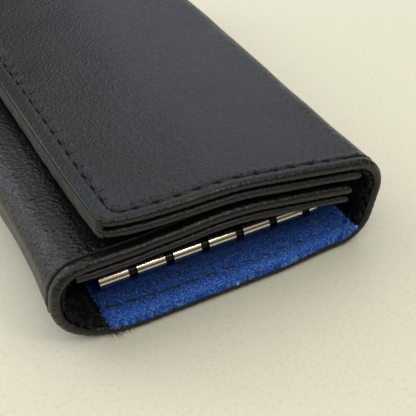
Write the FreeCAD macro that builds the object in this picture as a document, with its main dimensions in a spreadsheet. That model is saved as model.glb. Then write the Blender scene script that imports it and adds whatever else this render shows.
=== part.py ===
import FreeCAD, Part
import math
import os
from types import SimpleNamespace

import Sketcher
from FreeCAD import Placement, Rotation, Vector

# Three-fold leather key case, closed: X across the folds, Y along the case, Z up.
# The open front end faces -Y. The origin is under the middle of the case, on the table.
# Lengths are in millimetres and angles in degrees.

sizes = [
    ("case_length", 115.0, "front end to rear end"),
    ("base_width", 50.0, "flat floor between the two lower folds"),
    ("leather", 1.2, "shell leather"),
    ("hem_thickness", 2.0, "shell leather turned over at the open ends"),
    ("hem_width", 4.0, "width of the turned hems"),
    ("left_lower_radius", 12.0, "outer radius of the left lower fold"),
    ("left_upper_radius", 5.8, "outer radius of the left upper fold"),
    ("right_lower_radius", 8.0, "outer radius of the right lower fold"),
    ("right_lean", 12.0, "outward lean of the right wall"),
    ("right_wall_height", 5.4, "straight stretch between the right folds"),
    ("right_upper_radius", 8.0, "outer radius of the right upper fold"),
    ("flap_slope", 10.5, "fall of both flaps towards the right"),
    ("flap_knee_radius", 60.0, "soft bend where the flaps start to fall"),
    ("outer_slope_length", 21.0, "falling stretch of the outer flap"),
    ("outer_edge_setback", 10.7, "outer flap's free edge in from the left side"),
    ("inner_edge_room", 1.1, "inner flap's free edge short of the right upper fold"),
    ("inner_knee_shift", 1.4, "inner flap starts to fall this far after the outer flap"),
    ("flap_gap", 2.2, "gap between the two flaps"),
    ("lining_leather", 1.0, "leather of the outer flap's lining leaf"),
    ("lining_hem", 1.8, "its turned hem"),
    ("lining_gap", 0.5, "gap between the outer flap and its lining leaf"),
    ("lining_reach", 1.3, "lining leaf reaches this far under the right upper fold"),
    ("pocket_leather", 0.9, "leather of the inner flap's pocket leaf"),
    ("pocket_hem", 1.6, "its turned hem"),
    ("pocket_gap", 0.3, "gap between the inner flap and its pocket leaf"),
    ("pocket_inset", 0.2, "pocket leaf stops this far inside the inner flap's free edge"),
    ("edge_seam", 5.0, "width of the sewn free edge of the outer flap"),
    ("fabric_share", 0.6, "thickness of the textile in the folds, of the step at a hem"),
    ("fabric_lap", 1.0, "textile reaches this far over the flat floor"),
    ("glue_line", 0.06, "glue between a lining and what it lies on"),
    ("board_inset", 1.2, "stiffener board clear of folds and hems"),
    ("suede_thickness", 1.2, "suede floor lining"),
    ("suede_lap", 1.0, "suede reaches past the flat floor on the left"),
    ("suede_curl", 42.0, "turn of the suede's right edge, which climbs the fold"),
    ("stitch_pitch", 4.05, "sewing stitch to stitch"),
    ("stitch_length", 3.1, "visible length of one stitch"),
    ("thread_width", 0.5, "sewing thread across"),
    ("thread_height", 0.25, "sewing thread above the leather"),
    ("stitch_inset", 2.6, "sewing line inside an edge"),
    ("rail_inset", 0.35, "rail end inside the left end of the flat floor"),
    ("rail_end_inset", 1.05, "rail end inside the right end of the flat floor"),
    ("rail_setback", 9.4, "hinge pin axis behind the front end"),
    ("rail_sheet", 1.0, "sheet metal of the rail"),
    ("barrel_radius", 2.0, "rolled barrel outside"),
    ("plate_depth", 11.0, "rail plate behind the pin axis"),
    ("hook_count", 6, "hooks on the rail"),
    ("slot_width", 1.8, "slots for the hooks"),
    ("slot_play", 0.15, "play of a hook in its slot, each side"),
    ("end_land", 1.8, "barrel after the last slot"),
    ("running_fit", 0.05, "radial play on the hinge pin"),
    ("eye_wall", 0.6, "metal round the pin in a hook's eye"),
    ("eye_room", 0.1, "slot round the hook's eye"),
    ("hook_strip", 1.0, "hook metal thickness"),
    ("hook_width", 3.0, "hook metal width"),
    ("shank_length", 17.0, "pin axis to the bend of the hook"),
    ("hook_bend", 1.9, "inner radius of the hook's bend"),
    ("tip_length", 5.5, "returned tip of the hook"),
    ("neck_room", 0.6, "narrow neck reaches past the barrel"),
    ("gate_start", 6.0, "gate pivot behind the pin axis"),
    ("gate_lap", 1.1, "gate passes under the tip"),
    ("gate_sheet", 0.35, "spring gate thickness"),
    ("gate_width", 1.7, "spring gate width"),
    ("gate_eye", 0.45, "rolled root of the gate, radius"),
    ("gate_pin", 0.3, "pivots of the gate, radius"),
    ("gate_play", 0.1, "gate clear of the hook"),
    ("ear_wall", 0.35, "metal round a gate pivot in the hook's ears"),
    ("rivet_radius", 0.9, "rail rivet shank"),
    ("rivet_head", 1.9, "rail rivet head, radius at its foot"),
    ("rivet_crown", 1.2, "rail rivet head, radius at its top"),
    ("rivet_rise", 0.6, "rail rivet head height"),
    ("rivet_setback", 6.5, "rail rivets behind the pin axis"),
    ("washer_radius", 2.2, "rivet washer outside"),
    ("washer_sheet", 0.4, "rivet washer thickness"),
    ("fit_play", 0.05, "play of fixed pieces in their holes"),
    ("stud_base", 4.5, "stud base and socket ring radius"),
    ("stud_sheet", 0.4, "stud base thickness"),
    ("stud_nub", 1.7, "stud nub radius"),
    ("nub_play", 0.15, "socket play round the nub and above the stud base"),
    ("stud_post", 1.2, "stud post radius"),
    ("back_radius", 4.0, "stud back plate and socket cap radius"),
    ("back_sheet", 0.5, "stud back plate and socket cap thickness"),
    ("eyelet_wall", 0.5, "wall of the socket's eyelet"),
    ("overrun", 1.0, "cutters reach past what they cut"),
]


class Size:
    """A number together with the sheet formula that gives it, so that sums of sizes stay bound."""

    def __init__(self, number, text):
        self.number, self.text = number, text

    def __float__(self):
        return self.number

    def __add__(self, other):
        return Size(self.number + float(other), f"({self.text} + {text_of(other)})")

    def __sub__(self, other):
        return Size(self.number - float(other), f"({self.text} - {text_of(other)})")

    def __rsub__(self, other):
        return Size(float(other) - self.number, f"({text_of(other)} - {self.text})")

    def __mul__(self, other):
        return Size(self.number * float(other), f"({self.text} * {text_of(other)})")

    def __truediv__(self, other):
        return Size(self.number / float(other), f"({self.text} / {text_of(other)})")

    def __neg__(self):
        return Size(-self.number, f"(-{self.text})")

    __radd__, __rmul__ = __add__, __mul__


def text_of(size):
    return size.text if isinstance(size, Size) else str(size)


def sine(angle):
    return Size(math.sin(math.radians(angle)), f"sin({angle.text})")


def cosine(angle):
    return Size(math.cos(math.radians(angle)), f"cos({angle.text})")


def steepness(height, run):
    return Size(math.degrees(math.atan2(height, run)), f"atan({height.text} / {run.text})")


def diagonal(height, run):
    return Size(math.hypot(height, run), f"sqrt({height.text} ^ 2 + {run.text} ^ 2)")


doc = FreeCAD.newDocument("key_case")
sheet = doc.addObject("Spreadsheet::Sheet", "sizes")
for row, (alias, number, note) in enumerate(sizes, start=1):
    sheet.set(f"A{row}", note)
    sheet.set(f"B{row}", str(number))
    sheet.setAlias(f"B{row}", alias)
doc.recompute()

v = SimpleNamespace()
for alias, number, note in sizes:
    setattr(v, alias, Size(float(sheet.get(alias)), f"sizes.{alias}"))
hook_numbers = range(1, int(float(v.hook_count)) + 1)
nothing = Size(0.0, "0")
right_angle = Size(90.0, "90")
x_axis, y_axis, z_axis = Vector(1, 0, 0), Vector(0, 1, 0), Vector(0, 0, 1)
nodes = []


def bind(thing, **formulas):
    for name, size in formulas.items():
        thing.setExpression(name, size.text)


def put(thing, x=nothing, y=nothing, z=nothing, axis=None, angle=None):
    """Place a thing at bound coordinates, turned about one axis by a bound angle."""
    if axis is not None:
        thing.Placement = Placement(Vector(), Rotation(axis, float(angle)))
        thing.setExpression("Placement.Rotation.Angle", angle.text)
    for letter, size in zip("xyz", (x, y, z)):
        thing.setExpression(f"Placement.Base.{letter}", size.text)
    return thing


def node(thing, label):
    thing.Label = label
    nodes.append(thing)
    return thing


# Where the folds and flaps lie, worked out from the floor upwards

rise = 90 - v.right_lean
right_height = v.right_wall_height * sine(rise)
foot_z = v.right_lower_radius * (1 - cosine(rise))
centre_z = foot_z + right_height + v.right_upper_radius * cosine(rise)
right_end_z = centre_z + v.right_upper_radius * cosine(v.flap_slope)
outer_z = (
    right_end_z
    + v.flap_knee_radius * (1 - cosine(v.flap_slope))
    + v.outer_slope_length * sine(v.flap_slope)
)
lining_drop = v.hem_thickness + v.lining_gap + v.lining_hem
pocket_drop = v.hem_thickness + v.pocket_gap + v.pocket_hem
lining_z = outer_z - lining_drop
inner_z = lining_z - v.flap_gap
pocket_z = inner_z - pocket_drop

left_top = inner_z - v.left_upper_radius
left_wall_height = left_top - v.left_lower_radius

right_reach = (
    v.right_lower_radius * sine(rise)
    + v.right_wall_height * cosine(rise)
    + v.right_upper_radius * (1 - sine(rise))
)
case_width = v.left_lower_radius + v.base_width + right_reach
left_face = -(case_width / 2)
left_x = left_face + v.left_lower_radius
right_x = left_x + v.base_width
inner_x = left_face + v.left_upper_radius
outer_x = left_face + v.outer_edge_setback
foot_x = right_x + v.right_lower_radius * sine(rise)
head_x = foot_x + v.right_wall_height * cosine(rise)
centre_x = head_x - v.right_upper_radius * sine(rise)
right_end_x = centre_x + v.right_upper_radius * sine(v.flap_slope)
front_y = -(v.case_length / 2)
panel_length = v.case_length - 2 * v.hem_width - 2 * v.fit_play
step_at_hem = v.hem_thickness - v.leather

knee_run = v.flap_knee_radius * sine(v.flap_slope)
outer_knee_x = right_end_x - v.outer_slope_length * cosine(v.flap_slope) - knee_run
inner_knee_x = outer_knee_x + v.inner_knee_shift
outer_flat_length = outer_knee_x - outer_x
inner_flat_length = inner_knee_x - inner_x
inner_fall_run = right_end_x - v.inner_edge_room - inner_knee_x - knee_run
inner_slope_length = inner_fall_run / cosine(v.flap_slope)

suede_z = v.hem_thickness + v.glue_line
floor_top = suede_z + v.suede_thickness
stud_x = outer_x + (v.edge_seam + outer_flat_length) / 2


# Sketches

origin_point = (-1, 1)


def new_sketch(body, name, role):
    sketch = body.newObject("Sketcher::SketchObject", name)
    plane = [part for part in body.Origin.OriginFeatures if part.Role == role][0]
    sketch.AttachmentSupport = (plane, [""])
    sketch.MapMode = "FlatFace"
    return sketch


def constrain(sketch, name, size, kind, *points):
    """A named constraint bound to a size."""
    number = math.radians(float(size)) if kind == "Angle" else float(size)
    index = sketch.addConstraint(Sketcher.Constraint(kind, *points, number))
    sketch.renameConstraint(index, name)
    sketch.setExpression(f"Constraints.{name}", size.text)


def outline(sketch, points):
    """A closed outline of level and upright lines through the points, the first line level."""
    corners = [Vector(float(x), float(y), 0) for x, y in points]
    count = len(corners)
    for index in range(count):
        sketch.addGeometry(Part.LineSegment(corners[index], corners[(index + 1) % count]), False)
    for index in range(count):
        sketch.addConstraint(Sketcher.Constraint("Coincident", index, 2, (index + 1) % count, 1))
        sketch.addConstraint(Sketcher.Constraint("Vertical" if index % 2 else "Horizontal", index))


def rectangle(sketch, left, right, bottom, top):
    """A rectangle whose left and bottom lie at bound distances from the origin."""
    outline(sketch, [(left, bottom), (right, bottom), (right, top), (left, top)])
    constrain(sketch, "width", right - left, "DistanceX", 0, 1, 0, 2)
    constrain(sketch, "height", top - bottom, "DistanceY", 1, 1, 1, 2)
    constrain(sketch, "right", right, "DistanceX", *origin_point, 0, 2)
    constrain(sketch, "top", top, "DistanceY", *origin_point, 1, 2)


def hemmed_section(body, sheet_size, hem_size, radius=None):
    """Section of leather along the case: a thin panel with a thicker turned hem at each end.

    The outer face is at the bottom, level with the X axis, or a fold's radius below it.
    """
    face = -radius if radius else nothing
    end = v.case_length / 2
    step = end - v.hem_width
    sketch = new_sketch(body, f"{body.Name}_section", "YZ_Plane")
    panel_face, hem_face = face + sheet_size, face + hem_size
    outline(sketch, [
        (-end, face), (end, face), (end, hem_face), (step, hem_face),
        (step, panel_face), (-step, panel_face), (-step, hem_face), (-end, hem_face),
    ])
    constrain(sketch, "half", end, "DistanceX", *origin_point, 0, 2)
    constrain(sketch, "whole", v.case_length, "DistanceX", 0, 1, 0, 2)
    constrain(sketch, "rear_hem", v.hem_width, "DistanceX", 2, 2, 2, 1)
    constrain(sketch, "front_hem", v.hem_width, "DistanceX", 6, 2, 6, 1)
    constrain(sketch, "rear_turn", hem_size, "DistanceY", 1, 1, 1, 2)
    constrain(sketch, "front_turn", hem_size, "DistanceY", 7, 2, 7, 1)
    constrain(sketch, "panel", sheet_size, "DistanceY", 0, 1, 5, 1)
    if radius:
        constrain(sketch, "radius", radius, "DistanceY", 0, 1, *origin_point)
    else:
        sketch.addConstraint(Sketcher.Constraint("PointOnObject", 0, 1, -1))
    return sketch


def plain_section(body, length, bottom, top):
    """Section of a lining along the case: a plain rectangle between two levels."""
    sketch = new_sketch(body, f"{body.Name}_section", "YZ_Plane")
    rectangle(sketch, -(length / 2), length / 2, bottom, top)
    return sketch


def chain(body, pieces):
    """A path in the XZ plane from the origin along X: lines and tangent arcs.

    Each piece is (length,) for a line, or (radius, angle, side) for an arc; side 1 turns up, -1 down.
    """
    sketch = new_sketch(body, f"{body.Name}_path", "XZ_Plane")
    place, heading = Vector(), 0.0
    last_end = 1
    for number, (measure, *bend) in enumerate(pieces):
        ahead = Vector(math.cos(heading), math.sin(heading), 0)
        if bend:
            angle, side = bend
            turn = side * math.radians(float(angle))
            centre = place + Vector(-ahead.y, ahead.x, 0) * (side * float(measure))
            start = heading - side * math.pi / 2
            heading += turn
            finish = centre + Vector(math.cos(start + turn), math.sin(start + turn), 0) * float(measure)
            circle = Part.Circle(centre, z_axis, float(measure))
            first, last = sorted((start, start + turn))
            sketch.addGeometry(Part.ArcOfCircle(circle, first, last), False)
            ends = (1, 2) if side > 0 else (2, 1)
        else:
            finish = place + ahead * float(measure)
            sketch.addGeometry(Part.LineSegment(place, finish), False)
            ends = (1, 2)
        if number:
            sketch.addConstraint(Sketcher.Constraint("Tangent", number - 1, last_end, number, ends[0]))
        else:
            sketch.addConstraint(Sketcher.Constraint("Coincident", number, ends[0], *origin_point))
            sketch.addConstraint(Sketcher.Constraint("Horizontal", number))
        constrain(sketch, f"measure_{number}", measure, "Radius" if bend else "Distance", number)
        if bend:
            constrain(sketch, f"turn_{number}", angle, "Angle", number)
        last_end, place = ends[1], finish
    return sketch


def swept(body, section, pieces):
    pipe = body.newObject("PartDesign::AdditivePipe", f"{body.Name}_sweep")
    pipe.Profile = section
    pipe.Spine = chain(body, pieces)
    return body


def new_body(name):
    return doc.addObject("PartDesign::Body", name)


# Plain solids

def box(name, length, width, height, x, y, z):
    thing = doc.addObject("Part::Box", name)
    bind(thing, Length=length, Width=width, Height=height)
    return put(thing, x, y, z)


def cross_rod(name, radius, length, x, y, z):
    """A round bar along X from its left end."""
    thing = doc.addObject("Part::Cylinder", name)
    bind(thing, Radius=radius, Height=length)
    return put(thing, x, y, z, y_axis, right_angle)


def disc(name, radius, height, x, y, z):
    """An upright round bar from its lower end."""
    thing = doc.addObject("Part::Cylinder", name)
    bind(thing, Radius=radius, Height=height)
    return put(thing, x, y, z)


def joined(name, pieces):
    thing = doc.addObject("Part::MultiFuse", name)
    thing.Shapes = pieces
    return thing


def cut(name, base, tool):
    thing = doc.addObject("Part::Cut", name)
    thing.Base, thing.Tool = base, tool
    return thing


def group(name, pieces):
    thing = doc.addObject("Part::Compound", name)
    thing.Links = pieces
    return thing


# Leather shell, one hide cut at its folds

def flat_strip(label, length):
    """A straight stretch of shell leather, its outer face down, running along its own X."""
    body = new_body(label)
    pad = body.newObject("PartDesign::Pad", f"{label}_pad")
    pad.Profile = hemmed_section(body, v.leather, v.hem_thickness)
    bind(pad, Length=length)
    return node(body, label)


def fold_strip(label, radius, angle, towards_right):
    """A fold of shell leather: the hemmed section turned about the fold's axis from its lowest point."""
    body = new_body(label)
    section = hemmed_section(body, v.leather, v.hem_thickness, radius)
    fold = body.newObject("PartDesign::Revolution", f"{label}_turn")
    fold.Profile = section
    fold.ReferenceAxis = (section, ["H_Axis"])
    fold.Reversed = towards_right
    bind(fold, Angle=angle)
    return node(body, label)


def leaf(name, flat, knee, falling, sheet_size, hem_size, side):
    """A flap leaf from its left end: level, a soft knee, then falling to the right."""
    body = new_body(name)
    section = hemmed_section(body, sheet_size, hem_size)
    return swept(body, section, [(flat,), (knee, v.flap_slope, side), (falling,)])


def edge_band(body, length, bottom, top):
    """The sewn left edge of a leaf, built up between two levels to the leather it is sewn to."""
    sketch = new_sketch(body, f"{body.Name}_edge", "XZ_Plane")
    rectangle(sketch, nothing, v.edge_seam, bottom, top)
    pad = body.newObject("PartDesign::Pad", f"{body.Name}_edge_pad")
    pad.Profile = sketch
    pad.SideType = "Symmetric"
    bind(pad, Length=length)


put(flat_strip("floor_panel", v.base_width), left_x)
put(fold_strip("left_lower_fold", v.left_lower_radius, right_angle, False), left_x, z=v.left_lower_radius)
put(flat_strip("left_wall", left_wall_height), left_face, z=left_top, axis=y_axis, angle=right_angle)
put(fold_strip("left_upper_fold", v.left_upper_radius, right_angle, False),
    inner_x, z=left_top, axis=y_axis, angle=right_angle)
put(fold_strip("right_lower_fold", v.right_lower_radius, rise, True), right_x, z=v.right_lower_radius)
put(flat_strip("right_wall", v.right_wall_height), foot_x, z=foot_z, axis=y_axis, angle=-rise)
put(fold_strip("right_upper_fold", v.right_upper_radius, 180 - v.flap_slope - rise, True),
    centre_x, z=centre_z, axis=y_axis, angle=-rise)

half_turn = 2 * right_angle
inner_leaf = leaf("inner_leaf", inner_flat_length, v.flap_knee_radius, inner_slope_length,
                  v.leather, v.hem_thickness, 1)
put(inner_leaf, inner_x, z=inner_z, axis=x_axis, angle=half_turn)
outer_leaf = leaf("outer_leaf", outer_flat_length, v.flap_knee_radius, v.outer_slope_length,
                  v.leather, v.hem_thickness, 1)
edge_band(outer_leaf, v.case_length, v.leather, v.hem_thickness)
put(node(outer_leaf, "outer_flap"), outer_x, z=outer_z, axis=x_axis, angle=half_turn)


# Second leaves, inside the flaps

lining_leaf = leaf("lining_leaf", outer_flat_length, v.flap_knee_radius - lining_drop,
                   v.outer_slope_length + v.lining_reach, v.lining_leather, v.lining_hem, -1)
edge_band(lining_leaf, v.case_length, v.lining_leather, v.lining_hem + v.lining_gap)
put(lining_leaf, outer_x, z=lining_z)
pocket_leaf = leaf("pocket_leaf", inner_flat_length, v.flap_knee_radius - pocket_drop,
                   inner_slope_length - v.pocket_inset, v.pocket_leather, v.pocket_hem, -1)
edge_band(pocket_leaf, panel_length, v.pocket_leather, pocket_drop - v.leather)
put(node(pocket_leaf, "inner_pocket"), inner_x, z=pocket_z)


# Covered press stud: stud on the inner flap, socket under the outer flap's lining leaf

socket_sheet = v.flap_gap - v.stud_sheet - v.nub_play
socket_hole = v.stud_nub + v.nub_play
eyelet = socket_hole + v.eyelet_wall

stud_hole = disc("stud_hole", v.stud_post + v.fit_play, v.leather + 2 * v.overrun,
                 stud_x, nothing, inner_z - v.leather - v.overrun)
node(cut("inner_flap_cut", inner_leaf, stud_hole), "inner_flap")
eyelet_hole = disc("eyelet_hole", eyelet + v.fit_play, v.lining_leather + 2 * v.overrun,
                   stud_x, nothing, lining_z - v.overrun)
node(cut("outer_lining_cut", lining_leaf, eyelet_hole), "outer_lining")

node(joined("stud_solid", [
    disc("stud_disc", v.stud_base, v.stud_sheet, stud_x, nothing, inner_z),
    disc("stud_nub", v.stud_nub, v.flap_gap - v.nub_play, stud_x, nothing, inner_z),
    disc("stud_post", v.stud_post, v.leather, stud_x, nothing, inner_z - v.leather),
]), "snap_stud")
node(disc("stud_back_disc", v.back_radius, v.back_sheet, stud_x, nothing,
          inner_z - v.leather - v.back_sheet), "snap_stud_back")
node(cut("socket_solid",
         disc("socket_ring", v.stud_base, socket_sheet, stud_x, nothing, lining_z - socket_sheet),
         disc("socket_bore", socket_hole, socket_sheet + 2 * v.overrun,
              stud_x, nothing, lining_z - socket_sheet - v.overrun)), "snap_socket")
node(joined("cap_solid", [
    disc("cap_disc", v.back_radius, v.back_sheet, stud_x, nothing, lining_z + v.lining_leather),
    cut("cap_eyelet",
        disc("eyelet_tube", eyelet, v.lining_leather, stud_x, nothing, lining_z),
        disc("eyelet_bore", socket_hole, v.lining_leather, stud_x, nothing, lining_z)),
]), "snap_socket_cap")


# Textile inside the folds

def fold_lining(label, lower_radius, lower_turn, wall, upper_radius, upper_turn):
    inset = v.leather + v.glue_line
    body = new_body(label)
    section = plain_section(body, panel_length, nothing, step_at_hem * v.fabric_share)
    swept(body, section, [
        (v.fabric_lap,),
        (lower_radius - inset, lower_turn, 1),
        (wall,),
        (upper_radius - inset, upper_turn, 1),
    ])
    return node(body, label)


fabric_z = v.leather + v.glue_line
put(fold_lining("left_fold_lining", v.left_lower_radius, right_angle, left_wall_height,
                v.left_upper_radius, right_angle),
    left_x + v.fabric_lap, z=fabric_z, axis=z_axis, angle=half_turn)
put(fold_lining("right_fold_lining", v.right_lower_radius, rise, v.right_wall_height,
                v.right_upper_radius, 180 - v.flap_slope - rise),
    right_x - v.fabric_lap, z=fabric_z)


# Key rail: a plate rolled into a slotted barrel at its front edge

rail_left = left_x + v.rail_inset
rail_length = v.base_width - v.rail_inset - v.rail_end_inset
hook_pitch = (rail_length - v.end_land) / v.hook_count
land = hook_pitch - v.slot_width
pin_y = front_y + v.rail_setback
pin_z = floor_top + v.barrel_radius
bore_radius = v.barrel_radius - v.rail_sheet
pin_radius = bore_radius - v.fit_play
eye_bore = pin_radius + v.running_fit
eye_radius = eye_bore + v.eye_wall
slot_radius = eye_radius + v.eye_room
plate_top = floor_top + v.rail_sheet


def slot_start(number):
    return rail_left + number * hook_pitch - v.slot_width


def slot_cutters(number):
    """Open the barrel in front of, around and above one hook's eye."""
    name, x = f"slot_{number}", slot_start(number)
    reach = v.barrel_radius + v.overrun
    above = pin_z - v.hook_strip / 2 - v.eye_room
    return [
        box(f"{name}_front", v.slot_width, reach, 2 * reach, x, pin_y - reach, pin_z - reach),
        box(f"{name}_top", v.slot_width, reach, reach + v.hook_strip, x, pin_y, above),
        cross_rod(f"{name}_round", slot_radius, v.slot_width, x, pin_y, pin_z),
    ]


rivet_y = pin_y + v.rivet_setback
rivet_x = [rail_left + land / 2, rail_left + (v.hook_count - 1) * hook_pitch + land / 2]
rivet_hole = v.rivet_radius + v.fit_play


def rivet_holes(name, radius, height, z):
    return [disc(f"{name}_{index}", radius, height, x, rivet_y, z) for index, x in enumerate(rivet_x)]


rail_solid = joined("rail_solid", [
    box("rail_plate", rail_length, v.plate_depth, v.rail_sheet, rail_left, pin_y, floor_top),
    cross_rod("rail_barrel", v.barrel_radius, rail_length, rail_left, pin_y, pin_z),
])
rail_cutters = [cross_rod("rail_bore", bore_radius, rail_length + 2 * v.overrun,
                          rail_left - v.overrun, pin_y, pin_z)]
for number in hook_numbers:
    rail_cutters += slot_cutters(number)
rail_cutters += rivet_holes("rail_hole", rivet_hole, v.rail_sheet + 2 * v.overrun, floor_top - v.overrun)
node(cut("rail_cut", rail_solid, joined("rail_tools", rail_cutters)), "key_rail")
node(cross_rod("pin_rod", pin_radius, rail_length, rail_left, pin_y, pin_z), "hinge_pin")


# Floor: suede lining on a stiffener board, both pierced by the rail rivets

suede_body = new_body("suede")
swept(suede_body, plain_section(suede_body, v.case_length, nothing, v.suede_thickness), [
    (v.suede_lap + v.base_width,),
    (v.right_lower_radius - suede_z, v.suede_curl, 1),
])
put(suede_body, left_x - v.suede_lap, z=suede_z)
suede_depth = v.suede_thickness + 2 * v.overrun
suede_holes = rivet_holes("suede_hole", rivet_hole, suede_depth, suede_z - v.overrun)
node(cut("suede_cut", suede_body, joined("suede_tools", suede_holes)), "suede_lining")

board_y = v.case_length / 2 - v.hem_width - v.board_inset
board_solid = box("board_sheet", v.base_width - 2 * v.board_inset, 2 * board_y, step_at_hem,
                  left_x + v.board_inset, -board_y, v.leather)
board_tools = rivet_holes("board_hole", rivet_hole, step_at_hem + 2 * v.overrun, v.leather - v.overrun)
board_tools += rivet_holes("board_seat", v.washer_radius + v.fit_play, v.washer_sheet + v.overrun,
                           v.leather - v.overrun)
node(cut("board_cut", board_solid, joined("board_tools", board_tools)), "stiffener_board")


def rivet(index, x):
    head = doc.addObject("Part::Cone", f"rivet_head_{index}")
    bind(head, Radius1=v.rivet_head, Radius2=v.rivet_crown, Height=v.rivet_rise)
    put(head, x, rivet_y, plate_top)
    shank = disc(f"rivet_shank_{index}", v.rivet_radius, plate_top - v.leather, x, rivet_y, v.leather)
    return joined(f"rivet_{index}", [head, shank])


def washer(index, x):
    ring = disc(f"washer_ring_{index}", v.washer_radius, v.washer_sheet, x, rivet_y, v.leather)
    hole = disc(f"washer_hole_{index}", rivet_hole, v.washer_sheet, x, rivet_y, v.leather)
    return cut(f"washer_{index}", ring, hole)


node(group("rivet_pair", [rivet(index, x) for index, x in enumerate(rivet_x)]), "rail_rivets")
node(group("washer_pair", [washer(index, x) for index, x in enumerate(rivet_x)]), "rivet_washers")


# Key hooks and their spring gates

neck_width = v.slot_width - 2 * v.slot_play
neck_length = v.barrel_radius + v.neck_room
strip_low = pin_z - v.hook_strip / 2
strip_high = pin_z + v.hook_strip / 2
bend_y = pin_y + v.shank_length
bend_z = strip_high + v.hook_bend
tip_z = strip_high + 2 * v.hook_bend
pivot_y = pin_y + v.gate_start
pivot_z = strip_high + v.gate_play + v.gate_eye
gate_run = v.shank_length - v.tip_length + v.gate_lap - v.gate_start
gate_rise = tip_z - pivot_z - v.gate_sheet - 2 * v.gate_play
ear_bore = v.gate_pin + v.running_fit
ear_radius = ear_bore + v.ear_wall
ear_gap = v.gate_width + 2 * v.gate_play
ear_width = (v.hook_width - ear_gap) / 2


def key_hook(number):
    """A strip rolled into an eye at the pin, then a straight shank bent back on itself to a tip."""
    name, middle = f"hook_{number}", slot_start(number) + v.slot_width / 2
    neck_x, strip_x = middle - neck_width / 2, middle - v.hook_width / 2
    bend_radius = v.hook_bend + v.hook_strip
    bend = cross_rod(f"{name}_bend_round", bend_radius, v.hook_width, strip_x, bend_y, bend_z)
    bind(bend, Angle=half_turn)
    bend_core = cross_rod(f"{name}_bend_core", v.hook_bend, v.hook_width, strip_x, bend_y, bend_z)
    ears = []
    for side, x in [("left", strip_x), ("right", strip_x + ear_width + ear_gap)]:
        ears.append(cross_rod(f"{name}_{side}_ear", ear_radius, ear_width, x, pivot_y, pivot_z))
        ears.append(box(f"{name}_{side}_foot", ear_width, 2 * ear_radius, pivot_z - strip_high,
                        x, pivot_y - ear_radius, strip_high))
    solid = joined(f"{name}_solid", ears + [
        cross_rod(f"{name}_eye", eye_radius, neck_width, neck_x, pin_y, pin_z),
        box(f"{name}_neck", neck_width, neck_length, v.hook_strip, neck_x, pin_y, strip_low),
        box(f"{name}_shank", v.hook_width, v.shank_length - neck_length, v.hook_strip,
            strip_x, pin_y + neck_length, strip_low),
        cut(f"{name}_bend", bend, bend_core),
        box(f"{name}_tip", v.hook_width, v.tip_length, v.hook_strip, strip_x, bend_y - v.tip_length, tip_z),
    ])
    bores = joined(f"{name}_bores", [
        cross_rod(f"{name}_pin_bore", eye_bore, v.hook_width, strip_x, pin_y, pin_z),
        cross_rod(f"{name}_ear_bore", ear_bore, v.hook_width, strip_x, pivot_y, pivot_z),
    ])
    return node(cut(f"{name}_cut", solid, bores), f"key_hook_{number}")


def spring_gate(number):
    """A thin leaf from its rolled root between the hook's ears up to the underside of the tip."""
    name, middle = f"gate_{number}", slot_start(number) + v.slot_width / 2
    left, pivot_left = middle - v.gate_width / 2, middle - v.hook_width / 2
    blade = doc.addObject("Part::Box", f"{name}_blade")
    bind(blade, Length=v.gate_width, Width=diagonal(gate_rise, gate_run), Height=v.gate_sheet)
    put(blade, left, pivot_y, pivot_z, x_axis, steepness(gate_rise, gate_run))
    root = cross_rod(f"{name}_root", v.gate_eye, v.gate_width, left, pivot_y, pivot_z)
    pivots = cross_rod(f"{name}_pivots", v.gate_pin, v.hook_width, pivot_left, pivot_y, pivot_z)
    return node(joined(f"{name}_solid", [blade, root, pivots]), f"spring_gate_{number}")


for number in hook_numbers:
    key_hook(number)
    spring_gate(number)


# Sewing threads: rows of single stitches lying on the leather and the suede

def stitch_row(label, row_length, lengthwise):
    """A row of stitches centred on its own origin, along Y or across along X."""
    body = new_body(label)
    sketch = new_sketch(body, f"{label}_stitch", "XY_Plane")
    count = int(float(row_length) / float(v.stitch_pitch))
    start = -(v.stitch_pitch * (count - 1) + v.stitch_length) / 2
    side = v.thread_width / 2
    if lengthwise:
        rectangle(sketch, -side, side, start, start + v.stitch_length)
    else:
        rectangle(sketch, start, start + v.stitch_length, -side, side)
    pad = body.newObject("PartDesign::Pad", f"{label}_pad")
    pad.Profile = sketch
    bind(pad, Length=v.thread_height)
    row = body.newObject("PartDesign::LinearPattern", f"{label}_row")
    role = "Y_Axis" if lengthwise else "X_Axis"
    row.Originals = [pad]
    row.Direction = ([part for part in body.Origin.OriginFeatures if part.Role == role][0], [""])
    row.Occurrences = count
    bind(row, Length=v.stitch_pitch * (count - 1))
    body.Tip = row
    return node(body, label)


put(stitch_row("flap_edge_stitches", v.case_length - 2 * v.stitch_inset, True),
    outer_x + v.stitch_inset, z=outer_z)
put(stitch_row("suede_stitches", v.base_width - v.stitch_inset, False),
    left_x + v.base_width / 2, front_y + v.stitch_inset, floor_top)

doc.recompute()

faulty = [thing.Label for thing in doc.Objects if {"Invalid", "Error"} & set(thing.State)]
faulty += [thing.Label for thing in nodes if thing.Shape.isNull() or not thing.Shape.isValid()]
if faulty:
    raise RuntimeError(f"not built: {faulty}")

os.makedirs("parts", exist_ok=True)
for thing in nodes:
    thing.Shape.exportStep(f"parts/{thing.Label}.step")
    print(thing.Label, len(thing.Shape.Solids), round(thing.Shape.Volume, 2))
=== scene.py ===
import math

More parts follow.
